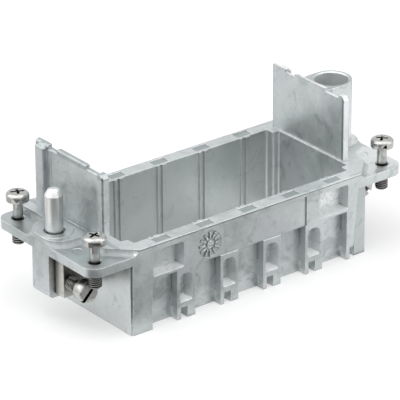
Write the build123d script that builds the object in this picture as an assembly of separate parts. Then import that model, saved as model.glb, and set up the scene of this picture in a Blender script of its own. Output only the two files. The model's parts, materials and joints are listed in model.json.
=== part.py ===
from build123d import *
import os

# Open module frame of a rectangular connector. The long side runs along X, the guide pin
# stands at -X and the guide socket at +X. Z = 0 is the underside of the body.

# Flange, with the fixing holes set in from its corners: a pattern of 77.5 by 27
flange_length = 84.5
flange_width = 34.0
flange_thickness = 2.0
flange_corner_r = 3.0
hole_inset = 3.5

# Body under and above the flange, which runs past it at both ends
end_length = 10.25
body_height = 19.4
rim_step = 1.3

# Bay that goes right through the body, and the slots for the inserts along it
slot_count = 5
bay_end_wall = 3.15
rim_width = 3.3
bay_end_recess = 1.65
bay_recess_corner = 2.1
bay_corner_r = 0.5
guide_rib_width = 2.4
guide_rib_shift = -0.65
guide_rib_height = 0.35
guide_rib_flank = 0.3
guide_groove_width = 0.75
guide_groove_shift = -0.93
guide_groove_depth = 0.5

# Shallow pockets in the top of both long rims
rim_pocket_length = 4.0
rim_pocket_width = 2.2
rim_pocket_depth = 0.15
rim_pocket_inset = 0.6

# Ribbed long sides
panel_drop = 7.9
panel_recess = 2.0
panel_foot_height = 3.1
panel_foot_recess = 0.3
rib_before = 2.8
rib_after = 1.9
first_panel_inset = 5.3
leg_width = 0.9
notch_width = 1.8
notch_height = 2.7
rib_slot_width = 3.5
rib_slot_bottom = 3.9
rib_slot_drop = 1.1
rib_slot_depth = 2.0
rib_slot_draft = 24.0
rib_slot_head_r = 1.4
rib_slot_foot_r = 0.4
side_pocket_width = 8.1
side_pocket_inset = 9.7
side_pocket_height = 5.8
side_pocket_drop = 1.5
side_pocket_depth = 2.0
side_pocket_draft = 18.0
side_pocket_corner_r = 0.5
end_rebate_width = 2.8
end_rebate_foot_width = 4.5
end_rebate_depth = 0.7
end_rebate_corner_r = 0.5
corner_groove_width = 0.35
corner_groove_depth = 0.5

# Bare recessed field on the front side, with a date wheel
label_inset = 17.2
label_drop = 1.0
label_depth = 0.3
date_wheel_inset = 3.6
date_wheel_r = 3.0
date_wheel_depth = 0.1

# Raised pads at both ends
pad_flat_inset = 2.0
pad_front_set_back = 7.15
pad_back_set_back = 6.25
pad_half_width = 5.7
pad_end_inset = 0.2
pad_end_r = 4.4
pad_inner_r = 1.4
pad_back_corner_r = 1.9
pad_diagonal_r = 0.8
skirt_r = 1.25
boss_r = 4.0
boss_height = 0.15
ejector_r = 1.25
ejector_depth = 0.1
ejector_inset = 3.6
ejector_y = -7.2

# Upright end walls: the one at the pin stands further out than the one at the socket
pin_wall_inset = 0.0
socket_wall_inset = 1.0
wall_thickness = 1.15
wall_height = 15.0
wall_front_inset = 7.3
wall_back_inset = 2.65
wall_step = 0.75
wall_front_head = 1.8
wall_front_low = 4.8
wall_high = 10.0
wall_back_low = 3.2
wall_top_chamfer = 0.4
wall_field_depth = 0.12
wall_field_back_inset = 7.9

# Columns on the outer side of the end walls
front_column_width = 1.7
front_column_rise = 0.6
front_column_chamfer = 0.8
front_groove = 0.35
back_column_inset = 0.95
back_column_width = 2.9
back_column_rise = 1.1
back_column_corner_r = 0.45
back_column_cap = 0.9

# Guide pin and guide socket, both off the centre line
guide_y = 1.3
pin_inset = 4.1
pin_diameter = 3.9
pin_height = 9.8
pin_tip_length = 1.5
pin_tip_diameter = 2.5
pin_crown_diameter = 1.3
pin_crown_height = 0.3
pin_shank_depth = 5.9
pin_shank_diameter = 3.5
pin_shoulder_gap = 0.05
pin_gap = 0.05
pin_mouth_diameter = 4.6
pin_mouth_depth = 0.35
socket_inset = 5.55
socket_inner_diameter = 7.5
socket_outer_diameter = 9.0
socket_height = 14.3
socket_mouth_chamfer = 0.25

# Column under the flange at each end
column_half_width = 3.4
column_drop = 10.0
column_corner_r = 1.4
column_bottom_r = 1.0

# Earth terminal block on the front of each column
terminal_outer_inset = 1.45
terminal_width = 5.3
terminal_thickness = 3.1
terminal_drop = 0.6
terminal_height = 8.6
terminal_edge = 0.25

# Earth screw, along Y
earth_screw_end_inset = 3.25
earth_screw_drop = 5.9
earth_screw_diameter = 3.0
earth_screw_clearance = 0.05
earth_screw_length = 9.2
earth_head_diameter = 4.8
earth_head_length = 2.6
earth_slot_width = 0.8
earth_slot_depth = 1.1
earth_slot_turn = 45
earth_head_edge = 0.3
earth_screw_backed_out = 4.0
earth_screw_seat_gap = 0.05

# Captive fixing screw, along Z, shown lifted
neck_diameter = 2.2
neck_clearance = 0.15
hole_mouth_diameter = 3.1
hole_mouth_depth = 0.35
thread_diameter = 2.9
thread_start = 0.15
thread_reach = 3.8
thread_tip = 0.35
head_diameter = 5.05
head_height = 2.0
head_lift = 4.1
head_relief = 0.15
head_dome = 0.45
recess_width = 0.75
recess_length = 3.0
recess_depth = 1.1

# Small casting radii
casting_edge = 0.2

# Levels and places worked out from the sizes above
half_length = flange_length / 2
half_width = flange_width / 2
body_half = half_length - end_length
bay_length = 2 * (body_half - bay_end_wall)
bay_half = half_width - rim_width
slot_pitch = bay_length / slot_count
flange_top = body_height - rim_step
flange_under = flange_top - flange_thickness
panel_top = body_height - panel_drop
rib_slot_top = panel_top - rib_slot_drop
side_pocket_top = body_height - side_pocket_drop
side_pocket_bottom = side_pocket_top - side_pocket_height
side_pocket_centre = body_half - side_pocket_inset
label_half = body_half - label_inset
label_top = body_height - label_drop
pad_front_flat = body_half - pad_flat_inset
pad_front_x = half_length - pad_front_set_back
pad_back_x = half_length - pad_back_set_back
pin_wall_x = body_half - pin_wall_inset
socket_wall_x = body_half - socket_wall_inset
wall_front_y = -half_width + wall_front_inset
wall_back_y = half_width - wall_back_inset
wall_top = body_height + wall_height
pin_x = -half_length + pin_inset
socket_x = half_length - socket_inset
column_front_y = guide_y - column_half_width
column_bottom = flange_under - column_drop
terminal_front_y = column_front_y - terminal_thickness
terminal_top = flange_under - terminal_drop
terminal_bottom = terminal_top - terminal_height
earth_screw_x = half_length - earth_screw_end_inset
earth_screw_z = flange_under - earth_screw_drop
cut_margin = 1.0


def slab(x_low, x_high, y_low, y_high, z_low, z_high):
    """A square-edged block between two corners."""
    size = (x_high - x_low, y_high - y_low, z_high - z_low)
    centre = ((x_low + x_high) / 2, (y_low + y_high) / 2, (z_low + z_high) / 2)
    return Pos(*centre) * Box(*size)


def disc(x, y, z_low, z_high, radius):
    """An upright cylinder between two levels."""
    return Pos(x, y, (z_low + z_high) / 2) * Cylinder(radius, z_high - z_low)


def rounded(sketch, corners):
    """Round the named corners of a plan, each with its own radius."""
    for (x, y), radius in corners:
        corner = sketch.vertices().sort_by_distance((x, y, 0))[0]
        sketch = fillet(corner, radius)
    return sketch


def on_long_side(sketch):
    """Stand a sketch drawn in X and Z on the front face of the body."""
    return Plane((0, -half_width, 0), x_dir=(1, 0, 0), z_dir=(0, -1, 0)) * sketch


def side_rectangle(x_low, x_high, z_low, z_high):
    """A rectangle on the front face, from its limits along X and Z."""
    centre = ((x_low + x_high) / 2, (z_low + z_high) / 2)
    return Pos(*centre) * Rectangle(x_high - x_low, z_high - z_low)


def slot_boundaries():
    """X of each line between two neighbouring slots."""
    first = -slot_pitch * (slot_count / 2 - 1)
    return [first + slot_pitch * index for index in range(slot_count - 1)]


def slot_centres():
    """X of the middle of each slot."""
    first = -slot_pitch * (slot_count - 1) / 2
    return [first + slot_pitch * index for index in range(slot_count)]


def last_rib_start():
    """X where the rib at the +X end of the long side begins."""
    return slot_pitch * slot_count / 2 - rib_before


# Plan outlines

def flange_plan():
    return RectangleRounded(flange_length, flange_width, flange_corner_r)


def pad_plan():
    """Raised level at the pin end, in plan, with its inner edge under the body."""
    inner = -body_half + pad_end_r
    low = guide_y - pad_half_width
    high = guide_y + pad_half_width
    end = -half_length + pad_end_inset
    diagonal = pad_front_x - pad_front_flat
    knee = -half_width + diagonal
    points = [
        (inner, half_width),
        (-pad_back_x, half_width),
        (-pad_back_x, high),
        (end, high),
        (end, low),
        (-pad_front_x, low),
        (-pad_front_x, knee),
        (-pad_front_flat, -half_width),
        (inner, -half_width),
    ]
    corners = [
        ((-pad_front_x, knee), pad_diagonal_r),
        ((-pad_front_x, low), pad_inner_r),
        ((end, low), pad_end_r),
        ((end, high), pad_end_r),
        ((-pad_back_x, high), pad_inner_r),
        ((-pad_back_x, half_width), pad_back_corner_r),
    ]
    return rounded(Polygon(*points, align=None), corners)


def bay_plan():
    """Opening for the inserts: a rectangle whose ends step out between the corners."""
    straight = Rectangle(bay_length, 2 * bay_half)
    deep = bay_length + 2 * bay_end_recess
    ends = Rectangle(deep, 2 * (bay_half - bay_recess_corner))
    plan = straight + ends
    return fillet(plan.vertices(), bay_corner_r)


def guide_rib_plan(x):
    """Low rib on the inner long wall, with sloping flanks."""
    x += guide_rib_shift
    half = guide_rib_width / 2
    inner = bay_half - guide_rib_height
    root = bay_half + guide_rib_height
    points = [
        (x - half - guide_rib_flank, root),
        (x - half, inner),
        (x + half, inner),
        (x + half + guide_rib_flank, root),
    ]
    return Polygon(*points, align=None)


# The casting, form by form

def raised_pad():
    """Pad at the -X end, with a hollow fillet at its foot that stops at the flange's edge."""
    spread = 2 * skirt_r
    ground = slab(-half_length - spread, 0, -half_width - spread, half_width + spread,
                  flange_under, flange_top)
    pad = ground + extrude(Pos(0, 0, flange_top) * pad_plan(), rim_step)
    shelf = pad.faces().filter_by(Axis.Z).sort_by(Axis.Z)[-2]
    pad = fillet(shelf.inner_wires()[0].edges(), skirt_r)
    limit = extrude(Pos(0, 0, flange_under) * flange_plan(), body_height - flange_under)
    return pad & limit


def flange():
    return extrude(Pos(0, 0, flange_under) * flange_plan(), flange_thickness)


def body_block():
    """Outer form of the body, with its rebated and grooved upright corners."""
    block = slab(-body_half, body_half, -half_width, half_width, 0, flange_top)
    block += slab(-pad_front_flat, pad_front_flat, -half_width, half_width, 0, body_height)
    rebate = Polygon(
        (body_half - end_rebate_foot_width, -cut_margin),
        (body_half + cut_margin, -cut_margin),
        (body_half + cut_margin, flange_under),
        (body_half - end_rebate_width, flange_under),
        align=None)
    rebate = extrude(on_long_side(rebate), -end_rebate_depth)
    groove = side_rectangle(-body_half - cut_margin, -body_half + corner_groove_width,
                            -cut_margin, flange_under)
    groove = extrude(on_long_side(groove), -corner_groove_depth)
    cuts = rebate + groove
    block -= cuts
    block -= mirror(cuts, Plane.XZ)
    for side in (-1, 1):
        corner = (body_half, side * (half_width - end_rebate_depth), flange_under / 2)
        edge = block.edges().filter_by(Axis.Z).sort_by_distance(corner)[0]
        block = fillet(edge, end_rebate_corner_r)
    return block


def column():
    """Column under the flange at the -X end, with a rounded back foot."""
    back = guide_y + column_half_width
    block = slab(-half_length, -body_half + cut_margin, column_front_y, back,
                 column_bottom, flange_under + cut_margin)
    upright = block.edges().filter_by(Axis.Z).sort_by_distance((-half_length, back, column_bottom))
    block = fillet(upright[0], column_corner_r)
    foot = block.faces().sort_by(Axis.Z)[0].edges().filter_by(Axis.X)
    return fillet(foot.sort_by(Axis.Y)[-1], column_bottom_r)


def wall_profile():
    """End wall seen from the side: heads at both ends, low steps, and a high middle."""
    low = wall_top - wall_step
    foot = body_height - casting_edge
    y_front_low = wall_front_y + wall_front_head
    y_high = y_front_low + wall_front_low
    y_back_low = y_high + wall_high
    y_back_head = y_back_low + wall_back_low
    points = [
        (wall_front_y, foot),
        (wall_back_y, foot),
        (wall_back_y, wall_top),
        (y_back_head, wall_top),
        (y_back_head, low),
        (y_back_low, low),
        (y_back_low, wall_top),
        (y_high, wall_top),
        (y_high, low),
        (y_front_low, low),
        (y_front_low, wall_top),
        (wall_front_y, wall_top),
    ]
    return Polygon(*points, align=None)


def back_column(outer):
    """Column near the back of an end wall, with rounded corners and a hipped cap."""
    y_back = wall_back_y - back_column_inset
    post = slab(-outer - back_column_rise, -outer + wall_thickness / 2,
                y_back - back_column_width, y_back, body_height - casting_edge, wall_top)
    cap = post.faces().sort_by(Axis.Z)[-1].edges().filter_by(
        lambda edge: edge.center().X < -outer)
    post = chamfer(cap, back_column_cap)
    corners = post.edges().filter_by(
        lambda edge: edge.center().X < -outer and abs(edge.tangent_at(0).Z) > 0.1)
    return fillet([edge for edge in corners if edge.center().X < -outer - back_column_rise / 2],
                  back_column_corner_r)


def front_column(outer):
    """Square column at the front of an end wall, grooved down its outer corner."""
    left = -outer - front_column_rise
    foot = body_height - casting_edge
    post = slab(left, -outer + wall_thickness / 2, wall_front_y, wall_front_y + front_column_width,
                foot, wall_top)
    return post - slab(left - cut_margin, left + front_groove,
                       wall_front_y - cut_margin, wall_front_y + front_groove,
                       body_height + casting_edge, wall_top + cut_margin)


def end_wall(inner):
    """Upright wall at the -X end, its inner face a given distance from the middle."""
    outer = inner + wall_thickness
    plane = Plane((-outer, 0, 0), x_dir=(0, 1, 0), z_dir=(1, 0, 0))
    wall = extrude(plane * wall_profile(), wall_thickness)
    rim = wall.faces().sort_by(Axis.X)[0].edges().filter_by(Axis.Y).filter_by_position(
        Axis.Z, body_height + wall_step, wall_top + casting_edge)
    wall = chamfer(rim, wall_top_chamfer)
    wall -= slab(-outer - cut_margin, -outer + wall_field_depth,
                 wall_front_y + front_column_width, half_width - wall_field_back_inset,
                 body_height + casting_edge, wall_top + cut_margin)
    wall += back_column(outer) + front_column(outer)
    front_top = wall.edges().filter_by(Axis.X).sort_by_distance((-outer, wall_front_y, wall_top))
    return chamfer(front_top[0], front_column_chamfer)


def guide_socket():
    """Round socket at the +X end, carried on a straight-sided web from the end wall."""
    radius = socket_outer_diameter / 2
    top = body_height + socket_height
    tower = disc(socket_x, guide_y, flange_top, top, radius)
    tower += slab(socket_wall_x + casting_edge, socket_x, guide_y - radius, guide_y + radius,
                  flange_top, top)
    return tower


def socket_bore():
    """Blind bore of the guide socket with a small lead-in."""
    radius = socket_inner_diameter / 2
    top = body_height + socket_height
    bore = disc(socket_x, guide_y, body_height, top + cut_margin, radius)
    lead = Pos(socket_x, guide_y, top - socket_mouth_chamfer / 2) * Cone(
        radius, radius + socket_mouth_chamfer, socket_mouth_chamfer)
    return bore + lead


def pin_bore():
    """Seat of the guide pin, with the open ring that shows round its foot."""
    depth = body_height - pin_shank_depth
    top = body_height + boss_height
    seat = disc(pin_x, guide_y, depth, top + cut_margin, pin_shank_diameter / 2 + pin_gap)
    ring = disc(pin_x, guide_y, top - pin_mouth_depth, top + cut_margin, pin_mouth_diameter / 2)
    return seat + ring


def fixing_hole(x, y):
    """Hole for a captive screw, with a sunk mouth and room for the head beside the pad."""
    hole = disc(x, y, flange_under - cut_margin, flange_top + cut_margin,
                neck_diameter / 2 + neck_clearance)
    mouth = Pos(x, y, flange_top - hole_mouth_depth / 2) * Cone(
        neck_diameter / 2 + neck_clearance, hole_mouth_diameter / 2, hole_mouth_depth)
    room = disc(x, y, flange_top, body_height + cut_margin, head_diameter / 2 + head_relief)
    return hole + mouth + room


def fixing_places():
    """Where the four captive screws stand, named by side and end."""
    places = {}
    hole_x = half_length - hole_inset
    hole_y = half_width - hole_inset
    for end, x in (("left", -hole_x), ("right", hole_x)):
        for side, y in (("front", -hole_y), ("back", hole_y)):
            places[side + "_" + end] = (x, y)
    return places


def long_side_cuts():
    """Everything sunk into the front face that the back face repeats."""
    cuts = Part()
    ribs = slot_boundaries()
    starts = [-body_half + first_panel_inset] + [rib + rib_after for rib in ribs]
    ends = [rib - rib_before for rib in ribs] + [last_rib_start()]
    for start, end in zip(starts, ends):
        panel = side_rectangle(start, end, -cut_margin, panel_top)
        cuts += extrude(on_long_side(panel), -panel_recess)
        foot = side_rectangle(start, end, -cut_margin, panel_foot_height)
        cuts += extrude(on_long_side(foot), -(panel_recess + panel_foot_recess))
    for start in ends:
        notch = side_rectangle(start + leg_width, start + leg_width + notch_width,
                               -cut_margin, notch_height)
        cuts += extrude(on_long_side(notch), -panel_recess)
    for rib in ribs:
        cuts += rib_slot(rib + (rib_after - rib_before) / 2)
    for centre in (-side_pocket_centre, side_pocket_centre):
        cuts += side_pocket(centre)
    return cuts


def rib_slot(x):
    """Blind tapered slot in a rib, with a rounded head."""
    half = rib_slot_width / 2
    shape = side_rectangle(x - half, x + half, rib_slot_bottom, rib_slot_top)
    ends = shape.vertices().sort_by(Axis.Y)
    shape = fillet(ends[2:], rib_slot_head_r)
    shape = fillet(shape.vertices().sort_by(Axis.Y)[:2], rib_slot_foot_r)
    return extrude(on_long_side(shape), -rib_slot_depth, taper=rib_slot_draft)


def side_pocket(x):
    """Large pocket near each end of the long side."""
    half = side_pocket_width / 2
    shape = side_rectangle(x - half, x + half, side_pocket_bottom, side_pocket_top)
    shape = fillet(shape.vertices(), side_pocket_corner_r)
    return extrude(on_long_side(shape), -side_pocket_depth, taper=side_pocket_draft)


def rim_pockets():
    """Shallow pockets in the rim at the middle of each slot, on the front side."""
    pockets = Part()
    outer = -half_width + rim_pocket_inset
    for x in slot_centres():
        pockets += slab(x - rim_pocket_length / 2, x + rim_pocket_length / 2,
                        outer, outer + rim_pocket_width,
                        body_height - rim_pocket_depth, body_height + cut_margin)
    return pockets


def label_field():
    """Bare sunk field on the front side."""
    field = side_rectangle(-label_half, label_half, panel_top, label_top)
    return extrude(on_long_side(field), -label_depth)


def date_wheel():
    """Plain round dimple at the left end of the sunk field."""
    x = -label_half + date_wheel_inset
    wheel = Pos(x, (panel_top + label_top) / 2) * Circle(date_wheel_r)
    return extrude(on_long_side(wheel), -(label_depth + date_wheel_depth))


def ejector_marks():
    """Shallow round ejector marks in the flange, in front of both pads."""
    x = half_length - ejector_inset
    marks = Part()
    for place in (-x, x):
        marks += disc(place, ejector_y, flange_top - ejector_depth, body_height, ejector_r)
    return marks


def guide_grooves():
    """Narrow upright grooves in the guide ribs of one long wall."""
    grooves = Part()
    half = guide_groove_width / 2
    for x in slot_centres():
        middle = x + guide_groove_shift
        grooves += slab(middle - half, middle + half, bay_half - 2 * guide_rib_height,
                        bay_half - guide_rib_height + guide_groove_depth,
                        -cut_margin, body_height + cut_margin)
    return grooves


def earth_bore(x):
    """Bore along Y through a column for the earth screw."""
    radius = earth_screw_diameter / 2 + earth_screw_clearance
    length = 2 * column_half_width + 2 * cut_margin
    return Pos(x, guide_y, earth_screw_z) * Rot(90, 0, 0) * Cylinder(radius, length)


def module_frame():
    """The whole casting."""
    end = raised_pad() + column()
    casting = body_block() + flange() + end + mirror(end, Plane.YZ)
    casting += end_wall(pin_wall_x) + mirror(end_wall(socket_wall_x), Plane.YZ)
    casting += disc(pin_x, guide_y, flange_top, body_height + boss_height, boss_r)
    casting += guide_socket()
    casting -= extrude(Pos(0, 0, -cut_margin) * bay_plan(), body_height + 2 * cut_margin)
    bay_ribs = Part()
    for x in slot_centres():
        bay_ribs += extrude(guide_rib_plan(x), body_height)
    bay_ribs -= guide_grooves()
    casting += bay_ribs + mirror(bay_ribs, Plane.XZ)
    sides = long_side_cuts() + rim_pockets()
    casting -= sides
    casting -= mirror(sides, Plane.XZ)
    casting -= label_field()
    casting -= date_wheel()
    casting -= socket_bore()
    casting -= pin_bore()
    casting -= ejector_marks()
    for x, y in fixing_places().values():
        casting -= fixing_hole(x, y)
    for x in (-earth_screw_x, earth_screw_x):
        casting -= earth_bore(x)
    return casting


# Turned and cut pieces

def guide_pin():
    """Turned pin with a coned tip and a thinner shank, pressed into the casting."""
    radius = pin_diameter / 2
    shank_r = pin_shank_diameter / 2
    foot = body_height - pin_shank_depth
    collar = body_height + boss_height + pin_shoulder_gap
    top = body_height + pin_height
    shoulder = top - pin_tip_length
    outline = [
        (0, foot),
        (shank_r, foot),
        (shank_r, collar),
        (radius, collar),
        (radius, shoulder),
        (pin_tip_diameter / 2, top - pin_crown_height),
        (pin_crown_diameter / 2, top),
        (0, top),
    ]
    return Pos(pin_x, guide_y, 0) * revolve(Plane.XZ * Polygon(*outline, align=None), Axis.Z)


def terminal_block():
    """Plated block at the -X end that the earth screw passes through."""
    outer = -half_length + terminal_outer_inset
    block = slab(outer, outer + terminal_width, terminal_front_y, column_front_y,
                 terminal_bottom, terminal_top)
    block = chamfer(block.edges(), terminal_edge)
    radius = earth_screw_diameter / 2 + earth_screw_clearance
    middle = (terminal_front_y + column_front_y) / 2
    bore = Pos(-earth_screw_x, middle, earth_screw_z) * Rot(90, 0, 0) * Cylinder(
        radius, terminal_thickness + 2 * cut_margin)
    return block - bore


def earth_screw(gap):
    """Slotted cheese-head screw at the -X end, its head a given gap off the block."""
    seat = terminal_front_y - gap
    head_r = earth_head_diameter / 2
    shank_r = earth_screw_diameter / 2
    head = Cylinder(head_r, earth_head_length, align=(Align.CENTER, Align.CENTER, Align.MIN))
    head = chamfer(head.edges().sort_by(Axis.Z)[-1], earth_head_edge)
    slot = Pos(0, 0, earth_head_length) * Box(
        earth_slot_width, 2 * earth_head_diameter, 2 * earth_slot_depth)
    shank = Cylinder(shank_r, earth_screw_length, align=(Align.CENTER, Align.CENTER, Align.MAX))
    shank = chamfer(shank.edges().sort_by(Axis.Z)[0], thread_tip)
    screw = head - slot + shank
    return Pos(-earth_screw_x, seat, earth_screw_z) * Rot(90, 0, 0) * Rot(0, 0, earth_slot_turn) * screw


def fixing_screw(x, y):
    """Captive pan-head screw, lifted, with a cross recess."""
    seat = flange_top + head_lift
    thread_top = flange_under - thread_start
    tip = flange_under - thread_reach
    head_r = head_diameter / 2
    head = disc(0, 0, seat, seat + head_height - head_dome, head_r)
    crown = Pos(0, 0, seat + head_height - head_dome / 2) * Cone(
        head_r, head_r - 2 * head_dome, head_dome)
    neck = disc(0, 0, thread_top, seat, neck_diameter / 2)
    thread = disc(0, 0, tip, thread_top, thread_diameter / 2)
    thread = chamfer(thread.edges().sort_by(Axis.Z)[0], thread_tip)
    screw = head + crown + neck + thread
    top = seat + head_height
    for turn in (0, 90):
        bar = Pos(0, 0, top) * Rot(0, 0, turn) * Box(recess_length, recess_width, 2 * recess_depth)
        screw -= bar
    return Pos(x, y, 0) * screw


def build():
    """Write every piece to its own file."""
    pieces = {
        "module_frame": module_frame(),
        "guide_pin": guide_pin(),
        "earth_terminal_left": terminal_block(),
        "earth_terminal_right": mirror(terminal_block(), Plane.YZ),
        "earth_screw_left": earth_screw(earth_screw_backed_out),
        "earth_screw_right": mirror(earth_screw(earth_screw_seat_gap), Plane.YZ),
    }
    for name, (x, y) in fixing_places().items():
        pieces["fixing_screw_" + name] = fixing_screw(x, y)
    os.makedirs("parts", exist_ok=True)
    for name, piece in pieces.items():
        export_step(piece, "parts/" + name + ".step")


build()
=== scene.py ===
"""Looks of an open connector module frame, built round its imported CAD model.

Lengths are in millimetres where nothing else is said, and become metres where a mesh is made.
"""

import json
import logging
import math
from dataclasses import dataclass
from enum import Enum

import bmesh
import bpy
from mathutils import Matrix, Vector

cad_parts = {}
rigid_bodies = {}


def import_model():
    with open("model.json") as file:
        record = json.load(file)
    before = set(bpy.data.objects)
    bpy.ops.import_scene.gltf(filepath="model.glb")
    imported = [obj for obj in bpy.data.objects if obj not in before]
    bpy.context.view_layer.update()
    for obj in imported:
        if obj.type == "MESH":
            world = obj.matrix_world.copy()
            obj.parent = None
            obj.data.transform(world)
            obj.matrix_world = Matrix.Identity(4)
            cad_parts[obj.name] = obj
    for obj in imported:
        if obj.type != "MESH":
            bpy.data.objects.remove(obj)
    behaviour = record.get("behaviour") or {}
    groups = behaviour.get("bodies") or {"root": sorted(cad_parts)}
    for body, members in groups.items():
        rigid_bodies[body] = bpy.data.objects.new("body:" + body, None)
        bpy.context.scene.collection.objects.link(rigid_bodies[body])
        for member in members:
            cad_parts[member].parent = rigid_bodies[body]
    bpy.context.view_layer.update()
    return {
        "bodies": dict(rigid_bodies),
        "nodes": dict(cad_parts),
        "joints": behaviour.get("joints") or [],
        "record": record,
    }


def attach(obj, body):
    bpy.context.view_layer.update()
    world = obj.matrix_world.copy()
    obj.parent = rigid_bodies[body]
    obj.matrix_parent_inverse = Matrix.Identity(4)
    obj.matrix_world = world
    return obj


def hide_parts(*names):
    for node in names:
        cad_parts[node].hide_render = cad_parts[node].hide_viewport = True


RGBA = tuple[float, float, float, float]
Span = tuple[float, float]
Triple = tuple[float, float, float]
Socket = bpy.types.NodeSocket
Finish = bpy.types.Material
Piece = bpy.types.Object
Mesh = bmesh.types.BMesh

FRAME_BODY = "frame"
MM = 0.001
FULL_TURN = 2 * math.pi
QUARTER_TURN = math.pi / 2
# Distances in metres under which points are one, lie on a cut, or belong to its rim.
MERGE_GAP = 2e-6
CUT_GAP = 1e-7
LEVEL_GAP = 1e-6
SURFACE_SAMPLES = 6
# Cosines over which an edge and an upward face show: to a rounded normal, and to straight up.
EDGE_COSINES: Span = (0.99, 0.8)
UPWARD_COSINES: Span = (0.6, 0.88)
WHITE: RGBA = (1, 1, 1, 1)
DULL = 0.9
UNDER = -0.1  # Just below zero, so that a span takes in zero itself.
SCREW_STEPS = 48
SCREW_ROUNDING = 0.12
SCREW_CREASE = 35.0
# Place in one turn of a thread, as a part of the pitch, and whether it is on the crest there.
THREAD_PROFILE = ((0.0, False), (0.12, False), (0.44, True), (0.56, True), (0.88, False), (1.0, False))

log = logging.getLogger("module_frame")


class Slot(Enum):
    """The material slots of the record."""

    ZINC = "zinc_casting"
    TURNED = "turned_steel"
    NICKEL = "nickel_plate"
    BRIGHT = "plated_steel"


class Tone(Enum):
    """The colours that the cast zinc is mixed from, some of them laid on as painted light or painted shade.
    """

    LIGHT = (0.61, 0.645, 0.645, 1)
    DARK = (0.445, 0.48, 0.485, 1)
    VIOLET = (0.56, 0.56, 0.61, 1)
    SMOOTH = (0.53, 0.575, 0.565, 1)
    # Pale: rubbed edges, partly a painted highlight, and painted light where grooves and the right end are
    # lifted.
    PALE_WEAR_AND_LIGHT = (0.84, 0.86, 0.86, 1)
    # Painted light in the socket's bore.
    PAINTED_BORE_LIGHT = (0.86, 0.88, 0.88, 1)
    # Near white: pale grit, and painted light on ledges, notches, tops and faces that the light falls on.
    PAINTED_LIGHT_AND_GRIT = (0.93, 0.95, 0.95, 1)
    # Dark skin tone for smudges, streaks, rim pockets and grit, also laid on as painted shade in corners,
    # rebates and on highlights.
    SKIN = (0.27, 0.31, 0.31, 1)
    # Dark lines drawn along edges.
    DARK_LINE = (0.16, 0.18, 0.18, 1)
    SHADOW = (0.05, 0.055, 0.055, 1)


class Field(Enum):
    """The values over the casting's surface that its tones and masks depend on."""

    X = "X"
    Y = "Y"
    Z = "Z"
    OPENNESS = "openness"
    CLOUDS = "clouds"
    BLOTCHES = "blotches"
    FLOW = "flow"
    SKIN = "skin"
    MOTTLE = "mottle"
    STREAKS = "streaks"
    SMUDGES = "smudges"
    COLD = "cold"
    BAY = "bay"
    BAY_WALLS = "bay_walls"


# Material graphs


@dataclass(frozen=True)
class Grain:
    """Settings of a smooth noise, with the size of its largest features in millimetres."""

    size: float
    detail: float = 3.0
    rough: float = 0.5
    bend: float = 0.0
    stretch: Triple | None = None


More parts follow.
